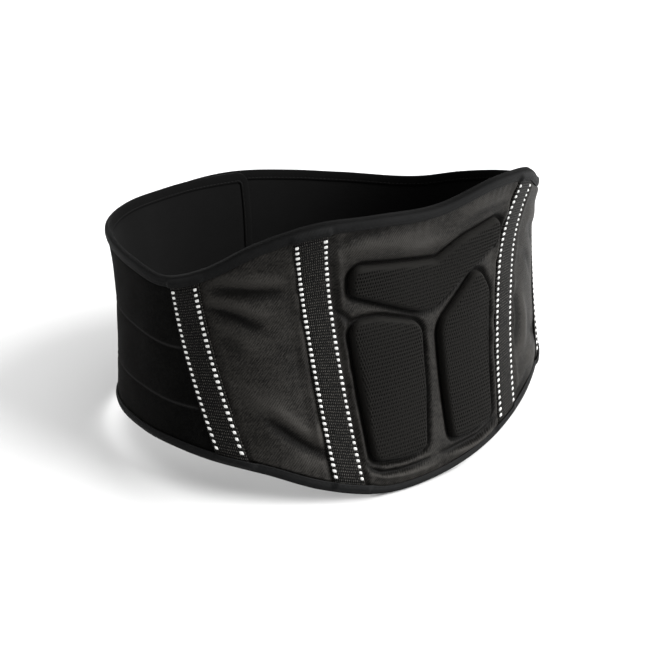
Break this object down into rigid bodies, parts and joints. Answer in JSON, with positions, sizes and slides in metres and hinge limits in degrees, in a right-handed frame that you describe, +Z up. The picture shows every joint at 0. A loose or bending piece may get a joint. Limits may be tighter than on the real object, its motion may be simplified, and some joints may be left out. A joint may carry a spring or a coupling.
{
  "type": "kidney belt",
  "caption": "Elastic kidney belt for riders, closed in a ring: padded panel over the small of the back, stays under webbing, velour wings that overlap and fasten in front.",
  "frame": {"origin": "middle of the belt's footprint on the surface that it stands on", "axes": "+Z up, towards the wearer's head; -Y towards the wearer's back, where the pads are; +Y towards the closure at the front; -X towards the wearer's left"},
  "size_m": [0.333, 0.2688, 0.1983],
  "materials": {
    "charcoal_satin": "tightly woven satin-faced nylon over foam, dark warm grey, soft sheen",
    "black_velour": "short-pile brushed loop velour, near black, with a smooth black lining",
    "black_edge_tape": "smooth knitted elastic edge tape with one stitch line",
    "black_webbing": "twill webbing with two columns of silver reflective dashes",
    "dark_mesh_cloth": "fine spacer mesh over moulded foam",
    "black_hook_tape": "hook side of a touch fastener"
  },
  "bodies": {
    "root": {"back_panel": "charcoal_satin", "left_wing": "black_velour", "right_wing": "black_velour", "upper_binding": "black_edge_tape", "lower_binding": "black_edge_tape", "outer_left_strip": "black_webbing", "inner_left_strip": "black_webbing", "inner_right_strip": "black_webbing", "outer_right_strip": "black_webbing", "upper_pad": "dark_mesh_cloth", "lower_left_pad": "dark_mesh_cloth", "lower_right_pad": "dark_mesh_cloth", "hook_patch": "black_hook_tape"}
  },
  "joints": []
}
